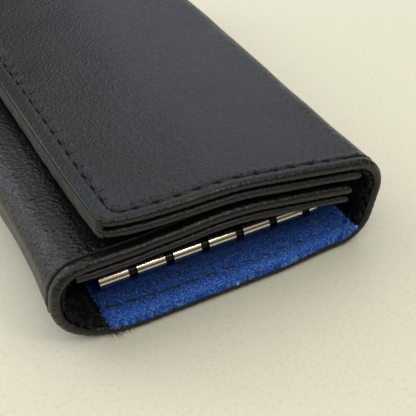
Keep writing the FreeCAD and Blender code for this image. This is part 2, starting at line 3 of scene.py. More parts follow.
import bpy
import numpy as np
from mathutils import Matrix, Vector


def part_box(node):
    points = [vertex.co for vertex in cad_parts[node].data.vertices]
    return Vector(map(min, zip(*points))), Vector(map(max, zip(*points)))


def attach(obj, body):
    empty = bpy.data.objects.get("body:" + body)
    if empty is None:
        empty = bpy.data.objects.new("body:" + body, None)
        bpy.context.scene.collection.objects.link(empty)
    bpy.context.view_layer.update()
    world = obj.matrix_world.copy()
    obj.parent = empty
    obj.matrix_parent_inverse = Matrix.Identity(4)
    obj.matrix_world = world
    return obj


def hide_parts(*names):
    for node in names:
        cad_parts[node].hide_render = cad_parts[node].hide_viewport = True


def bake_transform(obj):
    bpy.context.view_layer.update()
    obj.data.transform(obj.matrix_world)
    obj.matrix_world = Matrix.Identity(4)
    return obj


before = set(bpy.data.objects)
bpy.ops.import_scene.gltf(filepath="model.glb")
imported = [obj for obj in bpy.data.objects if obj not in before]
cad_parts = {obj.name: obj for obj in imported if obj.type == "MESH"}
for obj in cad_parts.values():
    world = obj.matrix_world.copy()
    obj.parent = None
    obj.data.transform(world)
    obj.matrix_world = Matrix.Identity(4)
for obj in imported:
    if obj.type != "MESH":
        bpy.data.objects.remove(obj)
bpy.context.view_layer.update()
mm = 0.001


# Camera at the photograph's place, looking down into the open front end
viewFrom = dict(place=(-61.635, -164.22, 123.46), ahead=(0.3642, 0.6777, -0.6388), lens=76.76)

camera = bpy.data.objects.new("camera", bpy.data.cameras.new("camera"))
bpy.context.collection.objects.link(camera)
camera.location = Vector(viewFrom["place"]) * mm
camera.rotation_euler = Vector(viewFrom["ahead"]).to_track_quat("-Z", "Y").to_euler()
camera.data.lens = viewFrom["lens"]
camera.data.sensor_width = 36.0
camera.data.clip_start = 0.005
bpy.context.scene.camera = camera
bpy.context.scene.view_settings.view_transform = "Standard"
print("camera set")


# Materials

def linear(hexColour):
    # sRGB hex to linear colour
    c = np.array([int(hexColour[k:k + 2], 16) for k in (1, 3, 5)]) / 255
    return (*np.where(c <= 0.04045, c / 12.92, ((c + 0.055) / 1.055) ** 2.4), 1.0)


def feed(tree, node, inputs):
    # Inputs are values to set or outputs to link
    for name, value in inputs.items():
        if isinstance(value, bpy.types.NodeSocket):
            tree.links.new(value, node.inputs[name])
        else:
            node.inputs[name].default_value = value


def addNode(tree, kind, inputs=None, **settings):
    # One shader node, with its properties and its inputs
    node = tree.nodes.new("ShaderNode" + kind)
    for name, value in settings.items():
        setattr(node, name, value)
    feed(tree, node, inputs or {})
    return node


def startMaterial(name, coordinates):
    # A new material, its nodes, its shader and the coordinates that its patterns follow
    material = bpy.data.materials.new(name)
    material.use_nodes = True
    tree = material.node_tree
    tree.nodes.clear()
    shader = addNode(tree, "BsdfPrincipled")
    addNode(tree, "OutputMaterial", {"Surface": shader.outputs["BSDF"]})
    return material, tree, shader, addNode(tree, "TexCoord").outputs[coordinates]


def perSize(size):
    # texture scale that gives features of this size in mm on coordinates in metres
    return 1 / (size * mm)


def noise(tree, place, size, detail, **more):
    # Noise with features of this size in mm
    inputs = {"Vector": place, "Scale": perSize(size), "Detail": detail}
    return addNode(tree, "TexNoise", inputs | more).outputs["Fac"]


def mix(tree, share, first, second):
    return addNode(tree, "MixRGB", {"Fac": share, "Color1": first, "Color2": second}).outputs[0]


def maths(tree, operation, *values, **settings):
    return addNode(tree, "Math", dict(enumerate(values)), operation=operation, **settings).outputs[0]


def remap(tree, value, low=0.0, high=1.0, toLow=0.0, toHigh=1.0):
    inputs = {"Value": value, "From Min": low, "From Max": high, "To Min": toLow, "To Max": toHigh}
    return addNode(tree, "MapRange", inputs).outputs[0]


def bump(tree, height, strength, depth, under=None):
    # Relief of this depth in mm, on top of the relief under it
    inputs = {"Height": height, "Strength": strength, "Distance": depth * mm}
    if under is not None:
        inputs["Normal"] = under
    return addNode(tree, "Bump", inputs).outputs[0]


# Chrome-tanned calf leather, dyed through and pressed smooth: charcoal with a broad soft sheen, fine
# pores, a pebbled grain where it bends, painted shade near black in the sewn grooves and stitch holes,
# and edges polished brown-grey by handling
calf = dict(dark="#08090a", light="#0e1012", edge="#1a1814", seam="#010101", roughness=0.33, polished=0.06,
            scuffed=0.08, shine=0.38, grain=0.5, pebble=0.8, crease=1.3, blotch=14.0, pores=0.7,
            grainDepth=0.16, pebbleDepth=0.3, creaseDepth=0.17)


def calfLeather(name, finish):
    material, tree, shader, place = startMaterial(name, "UV")
    wornAndLit, creased, seamShade = (addNode(tree, "Attribute", attribute_name=label).outputs["Fac"]
                           for label in ("wear", "crease", "seam"))
    cells, pebbles = (addNode(tree, "TexVoronoi", {"Vector": place, "Scale": perSize(finish[size])},
                              feature="SMOOTH_F1").outputs["Distance"] for size in ("grain", "pebble"))
    creases = noise(tree, place, finish["crease"], 3.0, Distortion=0.6)
    blotches = noise(tree, place, finish["blotch"], 4.0)
    hide = mix(tree, blotches, linear(finish["dark"]), linear(finish["light"]))
    # the wear attribute lightens towards the edge colour: wear on the leather's edges, and a painted highlight
    # on the crests of the cut edge
    edged = mix(tree, maths(tree, "MULTIPLY", wornAndLit, blotches), hide, linear(finish["edge"]))
    gloss = remap(tree, creases, 0.3, 0.7, finish["roughness"] - finish["polished"],
                  finish["roughness"] + finish["scuffed"])
    dull = maths(tree, "ADD", gloss, seamShade, use_clamp=True)
    pores = bump(tree, cells, finish["pores"], finish["grainDepth"])
    grain = bump(tree, pebbles, creased, finish["pebbleDepth"], pores)
    # painted shade: the seam attribute darkens the sewn grooves and stitch holes towards the seam colour
    feed(tree, shader, {"Base Color": mix(tree, seamShade, edged, linear(finish["seam"])), "Roughness": dull,
                        "Normal": bump(tree, creases, creased, finish["creaseDepth"], grain),
                        "Specular IOR Level": finish["shine"]})
    return material


# Brushed blue suede, the split flesh side of a hide: matt, deep royal blue with paler nap. The wear
# attribute makes it paler towards the front and right edges and deep blue further in: brushing, with a
# painted highlight along the lit front and painted shade under the flaps
napBlue = dict(deep="#02154c", deepAt=0.46, mid="#0c56cc", midAt=0.92, pale="#9fd2ff", clump=1.2, brushingAndLight=0.3,
               nap=0.33, napDepth=0.3)


def blueSuede(name, finish):
    material, tree, shader, place = startMaterial(name, "UV")
    brushedAndLit = addNode(tree, "Attribute", attribute_name="wear").outputs["Fac"]
    clumps = noise(tree, place, finish["clump"], 4.0)
    hairs = noise(tree, place, finish["nap"], 3.0, Roughness=0.7)
    # the wear attribute lifts the tone: painted light at the front, painted shade where it is low
    tone = maths(tree, "MULTIPLY_ADD", brushedAndLit, finish["brushingAndLight"], clumps)
    base = addNode(tree, "ValToRGB", {"Fac": tone})
    for number, shade in enumerate(("deep", "mid")):
        base.color_ramp.elements[number].position = finish[shade + "At"]
        base.color_ramp.elements[number].color = linear(finish[shade])
    show = maths(tree, "MULTIPLY", remap(tree, hairs, 0.5, 0.72), brushedAndLit, use_clamp=True)
    pale = linear(finish["pale"])
    feed(tree, shader, {"Base Color": mix(tree, show, base.outputs[0], pale), "Roughness": 0.95,
                        "Normal": bump(tree, hairs, 0.8, finish["napDepth"]), "Specular IOR Level": 0.15,
                        "Sheen Weight": 0.2, "Sheen Tint": pale})
    return material


# Black cotton backing torn to width, fuzzy and matt, with grey lint in its weave
backing = dict(dark="#0b0c0d", lint="#303436", yarn=0.5, lump=1.8, yarnDepth=0.2)


def blackCotton(name, finish):
    material, tree, shader, place = startMaterial(name, "UV")
    yarn = noise(tree, place, finish["yarn"], 3.0)
    lumps = noise(tree, place, finish["lump"], 2.0)
    share = remap(tree, maths(tree, "MULTIPLY", yarn, lumps), 0.22, 0.42)
    feed(tree, shader, {"Base Color": mix(tree, share, linear(finish["dark"]), linear(finish["lint"])),
                        "Normal": bump(tree, yarn, 0.8, finish["yarnDepth"]), "Roughness": 0.9,
                        "Specular IOR Level": 0.2})
    return material


# Twisted thread with a small highlight on each turn, waxed or left undyed
def waxedThread(name, colour, roughness):
    material, tree, shader, place = startMaterial(name, "Object")
    strands = noise(tree, place, 0.25, 2.0)
    feed(tree, shader, {"Base Color": mix(tree, strands, linear("#050505"), linear(colour)),
                        "Normal": bump(tree, strands, 0.5, 0.05), "Roughness": roughness})
    return material


# Nickel plate on stamped steel: warm pale mirror, faintly streaked along the rolling direction
def nickelPlate(name, colour, roughness, streak):
    material, tree, shader, place = startMaterial(name, "Object")
    along = addNode(tree, "Mapping", {"Vector": place, "Scale": (0.06, 1.0, 1.0)}).outputs[0]
    streaks = noise(tree, along, streak, 3.0)
    dull = remap(tree, streaks, 0.0, 1.0, roughness * 0.7, roughness * 1.5)
    feed(tree, shader, {"Base Color": linear(colour), "Metallic": 1.0, "Roughness": dull,
                        "Normal": bump(tree, streaks, 0.15, 0.02)})
    return material


# Matt with specks: grey fibre board pressed from leather dust, and a pale greenish-cream table top
def speckled(name, first, second, roughness, size, detail, low=0.0):
    material, tree, shader, place = startMaterial(name, "Object")
    specks = remap(tree, noise(tree, place, size, detail), low)
    feed(tree, shader, {"Base Color": mix(tree, specks, linear(first), linear(second)), "Roughness": roughness})
    return material


shellLeather = calfLeather("shell calf leather", calf)
liningLeather = calfLeather("lining calf leather", calf | dict(dark="#0a0b0c", light="#111314", roughness=0.4))
cutEdge = calfLeather("burnished leather edge", calf | dict(dark="#100f0e", light="#1b1a17", edge="#3a372f",
                                                            roughness=0.45, shine=0.4))
suedeNap = blueSuede("blue suede", napBlue)
cottonBacking = blackCotton("black cotton backing", backing)
blackThread = waxedThread("waxed black thread", "#1b1b1c", 0.4)
paleThread = waxedThread("undyed flax thread", "#f0f2e4", 0.8)
nickel = nickelPlate("nickel-plated steel", "#d8cdb4", 0.14, 0.5)
# The hooks are dark grey rather than nickel: painted shade that makes the rail's slots read black
shadedHookSteel = nickelPlate("dark-shaded hook steel", "#2a2b2e", 0.24, 0.5)
springSteel = nickelPlate("blued spring steel", "#4a4c50", 0.28, 0.4)
snapSteel = nickelPlate("gunmetal snap plate", "#8b8a86", 0.3, 0.6)
board = speckled("leather fibre board", "#4a443c", "#7b7264", 0.9, 0.8, 4.0)
creamTop = speckled("cream table", "#e4e0cb", "#cfcab4", 0.75, 0.9, 3.0, 0.5)
print("materials made")


# Where the leather is folded, in mm and degrees, on its outer face
cut = dict(
    length=115.0, leather=1.2, hem=2.0, hemWidth=4.0, seam=2.4, knee=60.0, fall=10.5, leftUpper=5.8,
    leftLower=12.0, rightLower=8.0, rise=78.0, rightWall=5.4, rightUpper=8.0, outerSlope=21.0,
    kneeShift=1.4, edgeRoom=1.1,
)
half = cut["length"] / 2


def corner(node, end, axis):
    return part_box(node)[end][axis] / mm


leftX, rightX = corner("floor_panel", 0, 0), corner("floor_panel", 1, 0)
innerX, innerZ = corner("left_upper_fold", 1, 0), corner("left_upper_fold", 1, 2)
outerX, outerZ = corner("outer_flap", 0, 0), corner("outer_flap", 1, 2)
leftTop = corner("left_wall", 1, 2)


def arc(radius, turn):
    return radius * math.radians(abs(turn)), turn


def walkPath(path, s):
    # Lines and tangent arcs, each (length, turn): a point is the last corner plus the chord of the
    # bend so far, which points halfway through its turn. Gives x, z and the unit normal to the left.
    place, heading, gone = np.array(path["start"], float), math.radians(path["heading"]), 0.0
    x, z, angle = np.zeros_like(s), np.zeros_like(s), np.zeros_like(s)
    for number, (length, turn) in enumerate(path["runs"]):
        bend = math.radians(turn) / length
        d = s - gone
        chord = d * np.sinc(bend * d / (2 * math.pi))
        here = (d >= 0) | (number == 0)
        x = np.where(here, place[0] + chord * np.cos(heading + bend * d / 2), x)
        z = np.where(here, place[1] + chord * np.sin(heading + bend * d / 2), z)
        angle = np.where(here, heading + bend * d, angle)
        reach = length * np.sinc(bend * length / (2 * math.pi))
        ahead = heading + bend * length / 2
        place = place + reach * np.array([math.cos(ahead), math.sin(ahead)])
        heading, gone = heading + bend * length, gone + length
    return x, z, -np.sin(angle), np.cos(angle)


rightRuns = dict(
    floor=(rightX - leftX, 0), rightLower=arc(cut["rightLower"], cut["rise"]), rightWall=(cut["rightWall"], 0),
    rightUpper=arc(cut["rightUpper"], 180 - cut["fall"] - cut["rise"]), outerSlope=(cut["outerSlope"], 0),
    outerKnee=arc(cut["knee"], cut["fall"]),
)
rightPath = dict(start=(leftX, 0), heading=0, runs=list(rightRuns.values()))
rightEnds = walkPath(rightPath, np.cumsum([run[0] for run in rightPath["runs"]]))[0]
outerKneeX, innerKneeX = rightEnds[5], rightEnds[5] + cut["kneeShift"]
fall = math.radians(cut["fall"])
outerFlat, innerFlat = outerKneeX - outerX, innerKneeX - innerX
innerSlope = (rightEnds[3] - cut["edgeRoom"] - innerKneeX - cut["knee"] * math.sin(fall)) / math.cos(fall)
shellRuns = dict(
    innerSlope=(innerSlope, 0), innerKnee=arc(cut["knee"], cut["fall"]), innerFlat=(innerFlat, 0),
    leftUpper=arc(cut["leftUpper"], 90), leftWall=(leftTop - cut["leftLower"], 0),
    leftLower=arc(cut["leftLower"], 90), **rightRuns, outerFlat=(outerFlat, 0),
)
gone = np.concatenate([[0], np.cumsum([run[0] for run in shellRuns.values()])])
at = dict(zip([*shellRuns, "end"], gone))
shellPath = dict(start=(0, 0), heading=180 - cut["fall"], runs=list(shellRuns.values()))
floorStart = walkPath(shellPath, np.array([at["floor"]]))
shellPath["start"] = (leftX - floorStart[0][0], -floorStart[1][0])
leftSplit = (at["leftWall"] + at["leftLower"]) / 2
floorSplit = (at["floor"] + at["rightLower"]) / 2
rightSplit = (at["rightWall"] + at["rightUpper"]) / 2
print("leather laid out:", round(at["end"], 1), "mm from edge to edge")


# Shared surface work

wholeTurn = 6.283  # radians


def ripple(a, b, size, seed, waves=12):
    # Sum of plane waves of about this size, in seeded directions: about -1 to 1
    pick = np.random.default_rng(seed)
    total = 0.0
    for turn, phase, scale in pick.uniform((0, 0, 0.7), (wholeTurn, wholeTurn, 1.5), (waves, 3)):
        k = wholeTurn / (size * scale)
        total = total + np.sin(k * (math.cos(turn) * a + math.sin(turn) * b) + phase)
    return total / math.sqrt(waves)


def ripples(a, b, waves, seed, total=0.0):
    # Waves are pairs of height and size in mm
    for number, (height, size) in enumerate(waves):
        total = total + height * ripple(a, b, size, seed + number)
    return total


def smooth(low, high, t):
    # Smooth step from 0 at low to 1 at high
    t = np.clip((t - low) / (high - low), 0, 1)
    return t * t * (3 - 2 * t)


def hump(t, middle, width):
    return np.exp(-((t - middle) / width) ** 2)


def rolled(e, r):
    # Rise of a rolled edge: r less the height of a quarter circle at distance e from the edge
    e = np.clip(e, 0, r)
    return r - np.sqrt(np.maximum(r * r - (r - e) ** 2, 0))


closeBy = np.array([-0.3, -0.2, -0.12, -0.05, 0.05, 0.12, 0.2, 0.3])  # lines that draw a seam's narrow groove


def hemColumns(leaf):
    # Columns across the case from the front end to the rear: at either end a bead, as high as the hem is
    # thick, turns from the edge to the face, then they stand close together over the sewn hem.
    # Gives y, the bead's rise and its angle, 90 degrees on the flat face.
    radius, seam, fine = leaf["hem"] / 2, leaf["seam"], leaf["fine"]
    turn = np.radians(np.linspace(8, 90, 9))
    flat = np.concatenate([np.arange(radius + fine, seam - 0.4, fine), seam + closeBy,
                           np.arange(seam + 0.5, 6.6, fine)])
    e = np.concatenate([radius * (1 - np.cos(turn)), flat])
    rise = np.concatenate([radius * (1 - np.sin(turn)), 0 * flat])
    angle = np.concatenate([turn, 0 * flat + math.pi / 2])
    middle = np.linspace(-half + e[-1], half - e[-1], int((2 * half - 2 * e[-1]) / leaf["across"]) + 1)[1:-1]
    y = np.concatenate([-half + e, middle, half - e[::-1]])
    rise, angle = (np.concatenate([line, 0 * middle + line[-1], line[::-1]]) for line in (rise, angle))
    return y, rise, angle


def stations(start, end, step, rollStart=0.0, rollEnd=0.0):
    # Distances along a path, close together where a free edge is rolled
    turn = np.radians(np.linspace(12, 90, 7))
    first = start + rollStart * (1 - np.cos(turn)) if rollStart else np.array([start])
    last = end - rollEnd * (1 - np.cos(turn[::-1])) if rollEnd else np.array([end])
    between = np.linspace(first[-1], last[0], int((last[0] - first[-1]) / step) + 2)[1:-1]
    return np.concatenate([first, between, last])


def stacked(*values):
    # Arrays and numbers side by side along a new last axis
    return np.stack(np.broadcast_arrays(*values), -1)


def unit(vectors):
    return vectors / np.linalg.norm(vectors, axis=1, keepdims=True)


def place(path, s, y, n):
    # Points at path distance s, case distance y and depth n inward from the path
    x, z, nx, nz = walkPath(path, s)
    return stacked(x + nx * n, y, z + nz * n)


def newPiece(name, points, faces, material, uv=None, smoothFaces=None, **layers):
    # Points in mm to a mesh in metres; uv is a pair in mm for each point, layers a number for each point
    mesh = bpy.data.meshes.new(name)
    mesh.from_pydata((points * mm).tolist(), [], faces)
    if uv is not None:
        corners = np.empty(len(mesh.loops), int)
        mesh.loops.foreach_get("vertex_index", corners)
        mesh.uv_layers.new(name="UVMap").data.foreach_set("uv", (uv[corners] * mm).ravel())
    for label, values in layers.items():
        layer = mesh.attributes.new(label, "FLOAT", "POINT")
        layer.data.foreach_set("value", values.astype(np.float32).ravel())
    shade = np.ones(len(mesh.polygons), bool) if smoothFaces is None else smoothFaces
    mesh.polygons.foreach_set("use_smooth", shade)
    mesh.materials.append(material)
    piece = bpy.data.objects.new(name, mesh)
    bpy.context.collection.objects.link(piece)
    return piece


def sheetPiece(name, outer, inner, u, v, material, flatEnds=(), **layers):
    # Two grids of points, the outer face and the inner face, sewn to each other round the rim
    rows, columns = outer.shape[:2]
    count = rows * columns
    index = np.arange(count).reshape(rows, columns)
    quads = stacked(index[:-1, :-1], index[:-1, 1:], index[1:, 1:], index[1:, :-1]).reshape(-1, 4)
    rim = np.concatenate([index[0], index[1:, -1], index[-1, -2::-1], index[-2:0:-1, 0]])
    ahead = np.roll(rim, -1)
    sides = stacked(ahead, rim, rim + count, ahead + count)
    faces = np.concatenate([quads, quads[:, ::-1] + count, sides])
    points = np.concatenate([outer.reshape(-1, 3), inner.reshape(-1, 3)])
    a, b, c, d = (points[faces[:, k]] for k in range(4))
    volume = np.einsum("ij,ij->", a, np.cross(b, c)) + np.einsum("ij,ij->", a, np.cross(c, d))
    if volume < 0:
        faces = faces[:, ::-1]
    # the ends where two pieces of one hide meet keep their faces' own normals
    flat = np.zeros(len(faces), bool)
    for end in flatEnds:
        line = index[end]
        flat[2 * len(quads):] |= np.isin(rim, line) & np.isin(ahead, line)
    grids = stacked(u, v).reshape(-1, 2)
    doubled = {label: np.tile(np.broadcast_to(values, (rows, columns)).ravel(), 2)
               for label, values in layers.items()}
    return newPiece(name, points, faces.tolist(), material, np.tile(grids, (2, 1)), ~flat, **doubled)


# Padded hems, the sewn groove behind them, and how far in the edges are worn and creased, in mm
hemLook = dict(puff=0.1, puffAt=1.1, puffWidth=0.8, groove=0.45, grooveWidth=0.17, shoulder=0.12,
               shoulderAt=-0.8, shoulderWidth=0.6, pucker=0.07, puckerSize=1.3, puckerWidth=0.9, wave=0.1,
               waveSize=22, wrinkle=0.025, wrinkleSize=1.4, uneven=0.3, unevenSize=2.2, fade=0.3, wornEnd=0.5,
               wornEdge=0.6, crease=0.6, creaseAt=-0.5, creaseWidth=1.5, creaseLeast=0.05)


def leatherRelief(s, y, q, seed):
    # Height over the plain face at distance q outwards from the seam line
    look = hemLook
    puckers = ripple(s, 0.4 * y, look["puckerSize"], seed + 1)
    puckers = puckers * hump(q, look["shoulderAt"], look["puckerWidth"])
    return (look["puff"] * hump(q, look["puffAt"], look["puffWidth"])
            - look["groove"] * hump(q, 0, look["grooveWidth"])
            + look["shoulder"] * hump(q, look["shoulderAt"], look["shoulderWidth"])
            + look["pucker"] * puckers + look["wave"] * ripple(s, y, look["waveSize"], seed + 2))


def leatherLeaf(name, path, s, leaf, material, seed, shape=None, drawIn=None, free=None, q=None, extra=0.0,
                calm=0.0, crease=0.0, shadedHoles=0.0, flatEnds=()):
    # A leaf of leather on a path: thin in the middle, turned and thicker at its hems, beaded at its edges.
    # shape gives what is added to the depth, y and z of each point, and drawIn rounds its corners.
    look = hemLook
    y, rise, turn = hemColumns(leaf)
    s2, y2 = np.meshgrid(s, y, indexing="ij")
    e = half - np.abs(y2)
    uneven = look["uneven"] * ripple(s2, 0 * s2, look["unevenSize"], seed + 5)
    turned = smooth(leaf["hemWidth"] + look["fade"], leaf["hemWidth"] - look["fade"], e + uneven)
    thick = leaf["leather"] + (leaf["hem"] - leaf["leather"]) * turned
    edge = 0.0 if free is None else rolled(free[:, None], thick / 2)
    q = leaf["seam"] - e if q is None else q
    face = np.sin(turn)
    relief = (leatherRelief(s2, y2, q, seed) + extra) * (1 - calm) * (edge < 0.05)
    gather = look["wrinkle"] * ripple(s2, 0.2 * y2, look["wrinkleSize"], seed + 7) * (rise > 0.001)
    sink, slide, lift = shape(s2, y2) if shape else (0.0, 0.0, 0.0)
    sAt, yAt = drawIn(s2, y2) if drawIn else (s2, y2)
    yAt = yAt + slide + np.sign(y2) * gather * np.cos(turn)
    outer = place(path, sAt, yAt, np.maximum(rise, edge) - (relief + gather) * face + sink)
    inner = place(path, sAt, yAt, thick - np.maximum(rise, edge) + gather * face + sink)
    outer[..., 2] += lift
    inner[..., 2] += lift
    wear = hump(e, 0, look["wornEnd"])
    if free is not None:
        wear = np.maximum(wear, hump(free[:, None], 0, look["wornEdge"]))
    creased = np.maximum(crease, look["crease"] * hump(q, look["creaseAt"], look["creaseWidth"]))
    creased = np.clip(creased, look["creaseLeast"], 1)
    # painted shade along the sewn groove and in the stitch holes, near black in the material
    seamShade = np.clip(leaf["shade"] * hump(q, 0, look["grooveWidth"]) + shadedHoles, 0, 1) * (1 - calm)
    return sheetPiece(name, outer, inner, s2, y2, material, flatEnds, wear=wear, crease=creased, seam=seamShade)


# Shell leather: one hide, made as four pieces that meet in the floor and in the two walls
shellLeaf = dict(leather=cut["leather"], hem=cut["hem"], hemWidth=cut["hemWidth"], seam=cut["seam"], shade=0.95,
                 step=0.42, fine=0.2, across=1.2, creaseReach=6, calmLeft=7, calmRight=5)
leftFolds = ("leftUpper", "floor")
rightFolds = ("rightLower", "outerSlope")

# How the soft case has settled in use, in mm: its left side drawn in, most at the upper fold, the front of
# the inner flap lower on the left than on the right, and the front of the floor pushed forward
settled = dict(fold=0.75, foldAt=0.6, foldWidth=0.55, side=0.4, sideStart=(-4, 2), sideEnd=8, wall=0.7,
               wallStart=0.7, wallReach=(2.5, 14), wallEnd=9, low=0.3, lowStart=(-1, 5), lowEnd=(17, 11),
               high=0.45, highStart=(17, 28), sagReach=(30, 6), bow=0.9, bowReach=7.0, bowStart=(-3, 6),
               bowEnd=16)


def sag(d, e):
    # Fall of the inner flap near its ends, at distance d from the left fold
    low = settled["low"] * smooth(*settled["lowEnd"], d) * smooth(*settled["lowStart"], d)
    return (low - settled["high"] * smooth(*settled["highStart"], d)) * smooth(*settled["sagReach"], e)


def floorBow(d, y):
    # How far the front of the floor stands forward, at distance d from its left end
    width = rightX - leftX
    across = smooth(*settled["bowStart"], d) * smooth(width, width - settled["bowEnd"], d)
    return settled["bow"] * across * np.exp(-np.maximum(y + half, 0) / settled["bowReach"])


def shellShape(s, y):
    e = half - np.abs(y)
    start, turn, floor = at["leftUpper"], at["leftWall"] - at["leftUpper"], at["floor"]
    fold = settled["fold"] * hump(s, start + settled["foldAt"] * turn, settled["foldWidth"] * turn)
    side = (settled["side"] * smooth(*settled["sideStart"], s - start)
            * smooth(floor, floor - settled["sideEnd"], s))
    wall = (settled["wall"] * smooth(start + settled["wallStart"] * turn, at["leftLower"], s)
            * smooth(*settled["wallReach"], e) * smooth(floor, floor - settled["wallEnd"], s))
    return fold + side + wall + sag(start - s, e), -floorBow(s - floor, y), 0.0


def floorCalm(s):
    # 1 on the flat floor, where the leather lies on the table
    left, right = at["floor"], at["rightLower"]
    calm = smooth(left - shellLeaf["calmLeft"], left, s) * smooth(right + shellLeaf["calmRight"], right, s)
    return calm[:, None]


def foldCrease(s, fold):
    first, last, reach = at[fold[0]], at[fold[1]], shellLeaf["creaseReach"]
    return (smooth(first - reach, first, s) * smooth(last + reach, last, s))[:, None]


def shellSide(name, start, end, folds, bent, flatEnds, roll=0.0):
    # One piece of the hide, creased at its folds, and rolled at its start where that is a free edge
    s = stations(start, end, shellLeaf["step"], roll)
    return leatherLeaf(name, shellPath, s, shellLeaf, shellLeather, 11, shellShape, free=s if roll else None,
                       calm=floorCalm(s), crease=bent * foldCrease(s, folds), flatEnds=flatEnds)


innerFlapLeather = shellSide("inner_flap_leather", 0, leftSplit, leftFolds, 0.6, (-1,), cut["leather"] / 2)
leftSideLeather = shellSide("left_side_leather", leftSplit, floorSplit, leftFolds, 0.6, (0, -1))
rightSideLeather = shellSide("right_side_leather", floorSplit, rightSplit, rightFolds, 0.4, (0, -1))


# Outer flap: sewn round its free edge, with the front left corner sprung up a little
flap = dict(stitchPitch=4.05, sideSeam=3.3, frontSeam=2.2, cornerTurn=2.0, holeDepth=0.4, holeSize=0.34,
            tuck=0.08, tuckReach=4.0, liftHeight=2.2, liftX=6.0, liftY=11.0, cornerRound=1.6, edgeRoll=0.55,
            across=0.6, step=0.45, tuckFade=(6, 1), holeShade=0.3)
edgeRows = np.array([0.06, 0.14, 0.25, 0.38, 0.55, 0.8, 1.1])  # rows that round the free edge


def cornerLift(a, y):
    # The corner rises and dies away with distance a from the free edge and y from the front end
    return flap["liftHeight"] * np.exp(-a / flap["liftX"]) * np.exp(-(y + half) / flap["liftY"])


def roundCorner(a, y):
    # A square corner drawn in to a quarter circle: the larger of the two distances becomes the radius
    da, de = (np.maximum(flap["cornerRound"] - d, 0) for d in (a, half - np.abs(y)))
    over = 1 - np.maximum(da, de) / np.maximum(np.hypot(da, de), 1e-9)
    return a + da * over, y - np.sign(y) * de * over


def seamDistance(a, y):
    # Signed distance from a seam that runs along one hem, round the free edge and back along the other
    turn = flap["cornerTurn"]
    qa, qy = flap["sideSeam"] - a + turn, np.abs(y) - (half - flap["frontSeam"]) + turn
    return np.minimum(np.maximum(qa, qy), 0) + np.hypot(np.maximum(qa, 0), np.maximum(qy, 0)) - turn


def seamPoint(t):
    # Point (a, y) at distance t along that seam from the middle of the free edge, to the front for t above 0
    turn = flap["cornerTurn"]
    straight = half - flap["frontSeam"] - turn
    quarter = turn * math.pi / 2
    d = np.abs(t)
    bend = np.clip((d - straight) / turn, 0, math.pi / 2)
    a = flap["sideSeam"] + turn * (1 - np.cos(bend)) + np.maximum(d - straight - quarter, 0)
    y = np.minimum(d, straight) + turn * np.sin(bend)
    return a, -np.sign(t) * y


def flapShape(s, y):
    return 0.0, 0.0, cornerLift(at["end"] - s, y)


def flapCorner(s, y):
    a, y = roundCorner(at["end"] - s, y)
    return at["end"] - a, y


flapLength = at["end"] - at["outerSlope"]
seamReach = half - flap["frontSeam"] + flapLength - flap["sideSeam"] - (2 - math.pi / 2) * flap["cornerTurn"]
stitchCount = int(seamReach / flap["stitchPitch"])
holeT = (np.arange(-stitchCount, stitchCount) + 0.5) * flap["stitchPitch"]
holeA, holeY = seamPoint(holeT)

flapLeaf = shellLeaf | dict(seam=flap["frontSeam"], across=flap["across"], shade=0.45)
flapS = np.concatenate([stations(rightSplit, at["end"], flap["step"]), at["end"] - edgeRows,
                        at["end"] - flap["sideSeam"] + closeBy])
flapS = np.unique(flapS.round(3))
freeA, flapY = np.meshgrid(at["end"] - flapS, hemColumns(flapLeaf)[0], indexing="ij")
seamQ = seamDistance(freeA, flapY)
nearHole = np.full(freeA.shape, np.inf)
for oneA, oneY in zip(holeA, holeY):
    nearHole = np.minimum(nearHole, np.hypot(freeA - oneA, flapY - oneY))
tucks = np.cos(2 * math.pi * flapY / flap["stitchPitch"]) * (seamQ < 0)
tucks = tucks * smooth(-flap["tuckReach"], -0.3, seamQ)
flapExtra = (-flap["holeDepth"] * hump(nearHole, 0, flap["holeSize"]) - rolled(freeA, flap["edgeRoll"])
             + flap["tuck"] * tucks * smooth(*(flap["sideSeam"] + d for d in flap["tuckFade"]), freeA))
# the stitch holes are painted with shade as well as sunk
outerFlapLeather = leatherLeaf(
    "outer_flap_leather", shellPath, flapS, flapLeaf, shellLeather, 11, flapShape, flapCorner, q=seamQ,
    extra=flapExtra, crease=0.4 * foldCrease(flapS, rightFolds), shadedHoles=hump(nearHole, 0, flap["holeShade"]),
    flatEnds=(0,))
print("shell leather made")


# Second leaves: the outer flap's lining and the inner flap's pocket
lining = dict(leather=1.0, hem=1.8, hemWidth=4.0, seam=2.4, shade=0.5, drop=4.3, reach=1.3, step=0.6, fine=0.3,
              across=1.6)
pocket = lining | dict(leather=0.9, hem=1.6, drop=3.9, reach=-0.2)


def secondLeaf(name, leaf, x, z, flat, slope, seed, shape, drawIn=None):
    # A leaf under a flap, from its left end: level, a soft knee, then falling to a rolled free edge
    runs = [(flat, 0), arc(cut["knee"] - leaf["drop"], -cut["fall"]), (slope + leaf["reach"], 0)]
    length = sum(run[0] for run in runs)
    path = dict(start=(x, z - leaf["drop"]), heading=0, runs=runs)
    s = np.concatenate([edgeRows, stations(0, length, leaf["step"], 0, leaf["leather"] / 2)])
    s = np.unique(s.round(3))
    piece = leatherLeaf(name, path, s, leaf, liningLeather, seed, shape, drawIn, free=length - s, crease=0.3)
    return piece, length


def liningShape(s, y):
    return 0.0, 0.0, cornerLift(s, y)


def pocketShape(s, y):
    return 0.0, 0.0, -sag(s, half - np.abs(y))


liningLeafPiece, liningLength = secondLeaf("outer_lining_leather", lining, outerX, outerZ, outerFlat,
                                           cut["outerSlope"], 31, liningShape, roundCorner)
pocketLeafPiece, pocketLength = secondLeaf("inner_pocket_leather", pocket, innerX, innerZ, innerFlat,
                                           innerSlope, 41, pocketShape)

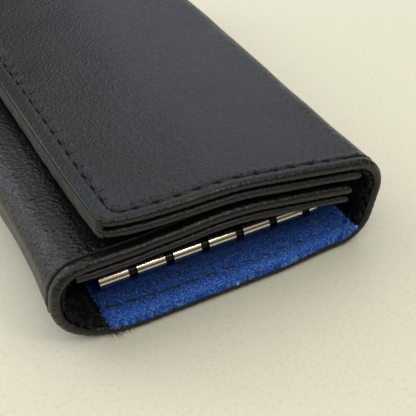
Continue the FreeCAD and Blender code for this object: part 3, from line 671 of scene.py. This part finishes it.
# The flap's cut free edge: layers of leather pressed together, each a ridge that runs round both corners
layers = dict(top=0.35, height=3.75, shares=(0.22, 0.2, 0.22, 0.36), perLayer=9, bulge=0.26, roundness=0.55,
              back=1.1, turnEnd=52, step=0.8)
ridgeEnds = np.concatenate([[0], np.cumsum(layers["shares"])])
ridgeAt = np.concatenate([np.linspace(a, b, layers["perLayer"])[:-1] for a, b in zip(ridgeEnds, ridgeEnds[1:])]
                         + [[1.0]])
ridgeT = np.append(np.tile(np.linspace(0, 1, layers["perLayer"])[:-1], len(layers["shares"])), 0.0)
cornerTurn = np.radians(np.linspace(layers["turnEnd"], 0, 8))
straight = half - flap["cornerRound"]
edgeLine = np.linspace(straight, -straight, int(2 * straight / layers["step"]))
edgeTurn = np.concatenate([cornerTurn, 0 * edgeLine[1:-1], -cornerTurn[::-1]])
edgeY = np.concatenate([0 * cornerTurn + straight, edgeLine[1:-1], 0 * cornerTurn - straight])
edgeY = edgeY + flap["cornerRound"] * np.sin(edgeTurn)
edgeX = outerX + flap["cornerRound"] * (1 - np.cos(edgeTurn))
ridgeOut = layers["bulge"] * np.sin(math.pi * ridgeT)[:, None] ** layers["roundness"]
ridgeOut = ridgeOut * (1 + 0.25 * ripple(edgeY[None], 3.0 * ridgeAt[:, None], 5, 51))
ridgeZ = outerZ - layers["top"] - layers["height"] * ridgeAt[:, None] + cornerLift(edgeX - outerX, edgeY)[None]


def edgeFace(out):
    # Points at distance out from the line of the edge, square to it
    x, y = edgeX - out * np.cos(edgeTurn), edgeY + out * np.sin(edgeTurn)
    return stacked(x, y, ridgeZ)


# painted highlight on the crest of each layer, on top of its wear, and painted shade near black in the valleys
# between layers
flapEdgeLayers = sheetPiece("flap_edge_layers", edgeFace(ridgeOut), edgeFace(0 * ridgeOut - layers["back"]),
                            layers["height"] * ridgeAt[:, None], edgeY[None], cutEdge,
                            wear=0.2 + 0.8 * np.sin(math.pi * ridgeT)[:, None], crease=np.array([[0.3]]),
                            seam=0.9 * (1 - np.sin(math.pi * ridgeT)[:, None]) ** 4)
print("leaves made")


# Sewing thread: each stitch is a twisted strand that arches out of one hole and into the next
thread = dict(width=0.3, height=0.06, sink=0.4, rings=9, sides=8, twist=5.0, slant=0.1, gap=0.3, depth=0.18,
              taper=0.92, strand=0.16)
suedeThread = thread | dict(width=0.4, height=0.08, sink=0.06, start=0.8, count=12, depth=0.14, sway=0.1,
                            swayRate=1.7, dip=0.1, dipAt=(-5, 20), gap=0.9, gapAt=(-12, 12))


def stitches(name, first, last, up, look, material):
    # Tubes from first to last: radius swells from the ends, two strands turn round it, the middle arches up
    u = np.linspace(-1, 1, look["rings"])[None, :, None]
    turn = np.linspace(0, 2 * math.pi, look["sides"], endpoint=False)[None, None, :]
    along = last - first
    length = np.linalg.norm(along, axis=1, keepdims=True)
    ahead = along / length
    across = unit(np.cross(ahead, up))
    strands = 1 + look["strand"] * np.cos(2 * turn - look["twist"] * u)
    radius = look["width"] / 2 * np.sqrt(1 - look["taper"] * u ** 4) * strands
    height = look["height"] * (1 - u ** 2) - look["sink"] * u ** 4 + radius * np.sin(turn)
    side = radius * np.cos(turn) + look["slant"] * u
    middle = (first + last) / 2
    points = (middle[:, None, None] + ahead[:, None, None] * (u * length[:, :, None] / 2)[..., None]
              + across[:, None, None] * side[..., None] + up[:, None, None] * height[..., None])
    count, rings, sides = points.shape[:3]
    index = np.arange(count * rings * sides).reshape(count, rings, sides)
    onward = np.roll(index, -1, 2)
    quads = stacked(index[:, :-1], index[:, 1:], onward[:, 1:], onward[:, :-1]).reshape(-1, 4)
    tips = np.arange(2 * count).reshape(2, count) + index.size
    caps = np.concatenate([
        stacked(index[:, 0], onward[:, 0], tips[0][:, None]).reshape(-1, 3),
        stacked(onward[:, -1], index[:, -1], tips[1][:, None]).reshape(-1, 3)])
    ends = np.concatenate([points[:, 0].mean(1), points[:, -1].mean(1)])
    cloud = np.concatenate([points.reshape(-1, 3), ends])
    return newPiece(name, cloud, quads.tolist() + caps.tolist(), material)


def onFlap(t):
    # Point sunk in the outer flap's seam at distance t along it, and the outward normal there
    a, y = seamPoint(t)
    x, z, nx, nz = walkPath(shellPath, at["end"] - a)
    up = stacked(-nx, 0.0, -nz)
    return stacked(x, y, z + cornerLift(a, y)) - thread["depth"] * up, up


stitchFrom, stitchUp = onFlap(holeT[:-1] + thread["gap"])
stitchTo, _ = onFlap(holeT[1:] - thread["gap"])
flapStitches = stitches("flap_edge_thread", stitchFrom, stitchTo, stitchUp, thread, blackThread)


# Suede floor lining: brushed nap, a ragged front along the hem, right edge curling up the fold
suede = dict(thickness=1.2, bottom=2.06, lap=1.0, curl=42.0, nap=0.12, clump=0.064, clumpSize=3.0, ragged=0.3,
             step=0.42, fineReach=16.0, overhang=0.05, droop=0.35, droopReach=0.6, hangFrom=(1, -14),
             pressed=0.35, pressedAt=(4.5, 8), edgeDip=0.3, frontDip=0.25, sideDip=0.3, under=0.12,
             underReach=0.3, seamNear=2.6, seamFar=1.9, seamStart=2.4, seamFade=14.0, seamDip=0.25,
             seamWidth=0.4, frontMean=0.6, frontTear=((0.4, 1.1), (0.5, 4.0)), frontReach=2.0,
             sideTear=((0.4, 1.4), (0.35, 4.5)), sideReach=1.5)
# How pale each part of the suede is drawn: the front strip carries a painted highlight and the low value
# further in is painted shade, on top of the brushing
suedeBrushingAndLight = dict(face=0.12, front=1.7, frontReach=3.5, right=0.8, rightReach=1.0)
suedeFlat = suede["lap"] + rightX - leftX
suedeRuns = [(suedeFlat, 0), arc(cut["rightLower"] - suede["bottom"], suede["curl"])]
suedePath = dict(start=(leftX - suede["lap"], suede["bottom"]), heading=0, runs=suedeRuns)
suedeLength = sum(run[0] for run in suedeRuns)


def onSuede(s, y, n):
    # The suede's own path, pushed forward with the floor, its front edge hanging down except on the right
    front = y + half + suede["overhang"]
    hang = smooth(*(suedeFlat + d for d in suede["hangFrom"]), s)
    droop = suede["droop"] * hang * np.exp(-(front / suede["droopReach"]) ** 2)
    back = suede["overhang"] * (1 - hang) * np.exp(-front)
    return place(suedePath, s, y + back - floorBow(s - suede["lap"], y), n - droop)


def suedeSeamY(x):
    fade = np.exp(-(x - leftX + suede["seamStart"]) / suede["seamFade"])
    return -half + suede["seamNear"] + suede["seamFar"] * fade


suedeS = stations(0, suedeLength, suede["step"], 0.4, 0.4)
suedeY = -half - suede["overhang"] + np.concatenate([
    [0.0, 0.1, 0.22, 0.36, 0.52, 0.7, 0.92], np.arange(1.2, suede["fineReach"], suede["step"]),
    np.linspace(suede["fineReach"], 2 * half + suede["overhang"] - 0.3, 80),
    [2 * half + suede["overhang"] - 0.1]])
gridS, gridY = np.meshgrid(suedeS, suedeY, indexing="ij")
frontE = gridY + half + suede["overhang"]
rightE = suedeLength - gridS
fromSeam = gridY - suedeSeamY(leftX - suede["lap"] + gridS)
pickNap = np.random.default_rng(61)
napNoise = pickNap.uniform(-1, 1, gridS.shape)
suedeTop = (suede["thickness"] - suede["nap"] * (1 + napNoise) / 2
            + suede["clump"] * ripple(gridS, gridY, suede["clumpSize"], 62)
            - suede["pressed"] * smooth(*suede["pressedAt"], frontE)
            - suede["seamDip"] * hump(fromSeam, 0, suede["seamWidth"])
            - suede["edgeDip"] * (np.exp(-frontE / suede["frontDip"]) + np.exp(-gridS / suede["sideDip"])
                                  + np.exp(-rightE / suede["sideDip"])))
ragged = suede["ragged"] * ripples(gridS, 0 * gridS, suede["frontTear"], 63, suede["frontMean"])
ragged = ragged * np.exp(-frontE / suede["frontReach"])
torn = ripples(gridY, 0 * gridY, suede["sideTear"], 65)
tornS = gridS + torn * (np.exp(-gridS / suede["sideReach"]) + np.exp(-rightE / suede["sideReach"]))
suedeUpper = onSuede(tornS, gridY + ragged, suedeTop)
suedeLower = onSuede(tornS, gridY + ragged, suede["under"] * np.exp(-frontE / suede["underReach"]))
# painted light at the front and painted shade further in, with the brushing of the nap
brushedAndLit = (suedeBrushingAndLight["face"] + suedeBrushingAndLight["front"] * np.exp(-frontE / suedeBrushingAndLight["frontReach"])
           + suedeBrushingAndLight["right"] * np.exp(-rightE / suedeBrushingAndLight["rightReach"]))
suedePiece = sheetPiece("suede_floor", suedeUpper, suedeLower, gridS, gridY, suedeNap, wear=brushedAndLit)

# Nap fibres that stand out of the cut edges and the face near the opening
fibres = dict(front=3200, face=4200, right=420, left=160, length=(0.35, 0.95), width=0.06, faceReach=6.5)


def hairs(name, root, lean, width, material, wear):
    # Thin three-sided spikes from root to root plus lean
    count = len(root)
    pick = np.random.default_rng(count)
    side = unit(np.cross(lean, pick.normal(size=(count, 3)))) * width
    other = unit(np.cross(lean, side)) * width
    left, right = (root - side / 2 + other * share for share in (0.87, -0.87))
    points = np.stack([root + side, left, right, root + lean], 1)
    index = np.arange(4 * count).reshape(count, 4)
    faces = np.concatenate([index[:, k] for k in ([0, 1, 3], [1, 2, 3], [2, 0, 3], [0, 2, 1])])
    uv = np.repeat(root[:, :2], 4, 0)
    return newPiece(name, points.reshape(-1, 3), faces.tolist(), material, uv, wear=np.full(4 * count, wear))


pickFibre = np.random.default_rng(71)


def scatter(count, low=0.0, high=1.0):
    return pickFibre.uniform(low, high, count)


def napRoots(count, s, y, n):
    return onSuede(np.broadcast_to(s, count), np.broadcast_to(y, count), np.broadcast_to(n, count))


suedeFront, thickness = -half - suede["overhang"], suede["thickness"]
napGroups = [  # roots, and the mean and spread of the way they lean
    (napRoots(fibres["front"], scatter(fibres["front"], 0, suedeLength), suedeFront + 0.3,
              scatter(fibres["front"], 0.1, thickness)), (0, -0.5, -0.05), (0.4, 0.3, 0.35)),
    (napRoots(fibres["face"], scatter(fibres["face"], 0, suedeLength),
              suedeFront + 0.3 + fibres["faceReach"] * scatter(fibres["face"]) ** 1.6, thickness - 0.12),
     (0.1, -0.4, 0.16), (0.4, 0.4, 0.1)),
    (napRoots(fibres["right"], suedeLength - 0.15, suedeFront + 12 * scatter(fibres["right"]) ** 1.5,
              scatter(fibres["right"], 0.1, thickness)), (0.45, -0.1, 0.35), (0.35, 0.35, 0.3)),
    (napRoots(fibres["left"], 0.15, suedeFront + 14 * scatter(fibres["left"]),
              scatter(fibres["left"], 0.2, thickness)), (-0.6, -0.1, 0.15), (0.35, 0.35, 0.2)),
]
napRoot = np.concatenate([root for root, _, _ in napGroups])
napLean = [pickFibre.normal(mean, spread, (len(root), 3)) for root, mean, spread in napGroups]
napLean = unit(np.concatenate(napLean))
suedeFibres = hairs("suede_fibres", napRoot, napLean * scatter(len(napRoot), *fibres["length"])[:, None],
                    fibres["width"], suedeNap, 2.0)

seamX = leftX - suedeThread["start"] + flap["stitchPitch"] * np.arange(suedeThread["count"])
seamY = suedeSeamY(seamX) + suedeThread["sway"] * np.sin(seamX * suedeThread["swayRate"])
seamZ = suede["bottom"] + thickness - suedeThread["depth"]
seamZ = seamZ - suedeThread["dip"] * smooth(*suedeThread["dipAt"], seamX)
seamRow = stacked(seamX, seamY, seamZ)
seamGap = stacked(suedeThread["gap"] * smooth(*suedeThread["gapAt"], seamX), 0.0, 0.0)
suedeStitches = stitches("suede_seam_thread", seamRow[:-1] + seamGap[:-1], seamRow[1:] - seamGap[1:],
                         np.tile((0.0, 0.0, 1.0), (len(seamRow) - 1, 1)), suedeThread, blackThread)
print("suede made")


# Cotton backing inside the folds: thin, lumpy and torn along its two ends
textile = dict(depth=1.26, overHem=2.06, hemStep=(4.9, 4.2), thickness=0.4, least=0.15, front=0.9, fineReach=12,
               fineStep=0.4, lump=0.22, lumpSize=1.7, lumpStart=0.8, rag=0.45, rags=((1, 1.6), (0.7, 4.5)),
               ragReach=1.5, cuff=0.4, cuffSize=2.4, cuffAt=0.7, cuffWidth=1.0, step=0.45, lap=1.0, overlap=0.4)


def foldBacking(name, start, end, seed, offset=0.0):
    # A strip on the inside of the leather, which steps up over the hems and ends in a torn edge at either end
    look = textile
    s = stations(start, end, look["step"])
    e = look["front"] + np.arange(0, look["fineReach"], look["fineStep"])
    e = np.concatenate([e, np.linspace(look["front"] + look["fineReach"], half, 26)])
    y = np.concatenate([e - half, half - e[-2::-1]])
    s2, y2 = np.meshgrid(s, y, indexing="ij")
    e2 = half - np.abs(y2)
    inward = e2 - look["front"]
    torn = look["rag"] * ripples(s2, y2, look["rags"], seed) * np.exp(-inward / look["ragReach"])
    sink, slide, _ = shellShape(s2, y2)
    step = (look["overHem"] - look["depth"]) * smooth(*look["hemStep"], e2)
    depth = look["depth"] + offset + step + sink
    lumps = look["lump"] * ripple(s2, y2, look["lumpSize"], seed + 2)
    lumps = lumps * smooth(0, look["lumpStart"], inward)
    cuff = look["cuff"] * (0.5 + 0.5 * ripple(s2, y2, look["cuffSize"], seed + 3))
    cuff = cuff * hump(inward, look["cuffAt"], look["cuffWidth"])
    yAt = y2 - np.sign(y2) * torn + slide
    outer = place(shellPath, s2, yAt, depth)
    inner = place(shellPath, s2, yAt, depth + np.maximum(look["thickness"] + lumps + cuff, look["least"]))
    # The strip's own width is its way round the inside of the fold, which is shorter than the leather's
    middle = place(shellPath, s, 0 * s, depth[:, len(y) // 2] + look["thickness"] / 2)
    width = np.linalg.norm(np.diff(middle, axis=0), axis=1).sum()
    return sheetPiece(name, outer, inner, s2, y2, cottonBacking), width


leftBackingLow, leftLowWidth = foldBacking("left_backing_lower", leftSplit, at["floor"] + textile["lap"], 81)
leftBackingHigh, leftHighWidth = foldBacking("left_backing_upper", at["leftUpper"],
                                             at["leftLower"] + textile["overlap"], 85, 0.06)
rightBackingLow, rightLowWidth = foldBacking("right_backing_lower", at["rightLower"] - textile["lap"],
                                             rightSplit, 91)
rightBackingHigh, rightHighWidth = foldBacking("right_backing_upper", rightSplit, at["outerSlope"], 95)

# Loose ends: pale threads frayed from the suede's left corner, and black lint under the hem
fray = dict(pale=14, paleWidth=0.045, lint=26, lintWidth=0.04)
count = fray["pale"]
frayRoot = stacked(leftX - 0.8 + scatter(count, 0, 1.6), suedeFront - 0.1, scatter(count, 1.6, 2.8))
frayLean = pickFibre.normal((0.2, -0.5, 0.2), (0.5, 0.3, 0.4), (count, 3)) * 1.2
frayedThreads = hairs("frayed_threads", frayRoot, frayLean, fray["paleWidth"], paleThread, 0.0)
count = fray["lint"]
lintRoot = stacked(leftX + 0.3 + pickFibre.normal(0, 1.2, count), -half + 0.1, scatter(count, 0.05, 0.4))
lintLean = stacked(pickFibre.normal(0.3, 0.6, count), -scatter(count, 0.5, 2.0),
                   -lintRoot[:, 2] * scatter(count, 0.3, 0.9))
blackLint = hairs("black_lint", lintRoot, lintLean, fray["lintWidth"], cottonBacking, 0.0)
print("backing and loose threads made")


# How the pieces sit: each bending piece is listed with the two bodies and the folds it lies between, and baked
# where it lies; the pieces that ride a body are attached to it


bends = [
    (innerFlapLeather, "left_wall", "inner_flap", "leftWall", "leftUpper"),
    (leftBackingHigh, "left_wall", "inner_flap", "leftWall", "leftUpper"),
    (leftSideLeather, "centre", "left_wall", "floor", "leftLower"),
    (leftBackingLow, "centre", "left_wall", "floor", "leftLower"),
    (rightSideLeather, "centre", "right_wall", "rightLower", "rightWall"),
    (rightBackingLow, "centre", "right_wall", "rightLower", "rightWall"),
    (outerFlapLeather, "right_wall", "outer_flap", "rightUpper", "outerSlope"),
    (rightBackingHigh, "right_wall", "outer_flap", "rightUpper", "outerSlope"),
]
for piece, first, second, start, end in bends:
    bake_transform(piece)
riders = {
    "outer_flap": [liningLeafPiece, flapEdgeLayers, flapStitches],
    "inner_flap": [pocketLeafPiece],
    "centre": [suedePiece, suedeFibres, suedeStitches, frayedThreads, blackLint],
}
for body, pieces in riders.items():
    for piece in pieces:
        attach(piece, body)

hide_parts("inner_flap", "left_upper_fold")
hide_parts("left_wall", "left_lower_fold", "floor_panel")
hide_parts("right_lower_fold", "right_wall")
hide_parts("outer_flap", "right_upper_fold")
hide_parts("outer_lining")
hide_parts("inner_pocket")
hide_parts("left_fold_lining")
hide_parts("right_fold_lining")
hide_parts("suede_lining")
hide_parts("flap_edge_stitches")
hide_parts("suede_stitches")


# Metal and board keep the shapes they were built with
metals = {"key_rail": nickel, "hinge_pin": springSteel, "rail_rivets": nickel, "rivet_washers": springSteel,
          "stiffener_board": board, "snap_stud": snapSteel, "snap_stud_back": snapSteel,
          "snap_socket": snapSteel, "snap_socket_cap": snapSteel}
for number in range(1, 7):
    metals[f"key_hook_{number}"] = shadedHookSteel
    metals[f"spring_gate_{number}"] = springSteel
for name, material in metals.items():
    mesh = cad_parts[name].data
    mesh.materials.clear()
    mesh.materials.append(material)
print("pieces placed")


# Table and light: a room bright overhead and dim at eye level, two soft panels high at the back, and
# two small lamps, one for the grain of the left side and one for the rolled hems in front
room = dict(table=2400.0, tableDrop=0.03, worldColour="#f4f4f0", low=0.08, high=1.38, lowAt=0.3, highAt=0.92)
lamps = {
    "right_panel": dict(place=(400, 470, 345), size=580, watts=0.7, colour="#e6f0ff"),
    "left_panel": dict(place=(-420, 330, 380), size=800, watts=1.9, colour="#f4f7ff"),
    "left_lamp": dict(place=(-430, 450, 250), size=240, watts=0.4, colour="#f4f7ff"),
    "front_lamp": dict(place=(230, -480, 540), size=130, watts=0.6, colour="#fff6ea"),
}

side, low = room["table"] / 2, -room["tableDrop"]
tableCorners = np.array([(-side, -side, low), (side, -side, low), (side, side, low), (-side, side, low)])
table = newPiece("table", tableCorners, [(0, 1, 2, 3)], creamTop)

world = bpy.data.worlds.new("room")
world.use_nodes = True
sky = world.node_tree
aim = addNode(sky, "TexCoord").outputs["Generated"]
height = addNode(sky, "SeparateXYZ", {"Vector": aim}).outputs["Z"]
glow = remap(sky, height, room["lowAt"], room["highAt"], room["low"], room["high"])
feed(sky, sky.nodes["Background"], {"Strength": glow, "Color": linear(room["worldColour"])})
bpy.context.scene.world = world

for name, lamp in lamps.items():
    light = bpy.data.objects.new(name, bpy.data.lights.new(name, "AREA"))
    light.data.shape = "DISK"
    light.data.size = lamp["size"] * mm
    light.data.energy = lamp["watts"]
    light.data.color = linear(lamp["colour"])[:3]
    light.location = Vector(lamp["place"]) * mm
    light.rotation_euler = (-light.location).to_track_quat("-Z", "Y").to_euler()
    bpy.context.collection.objects.link(light)
print("table and light set")
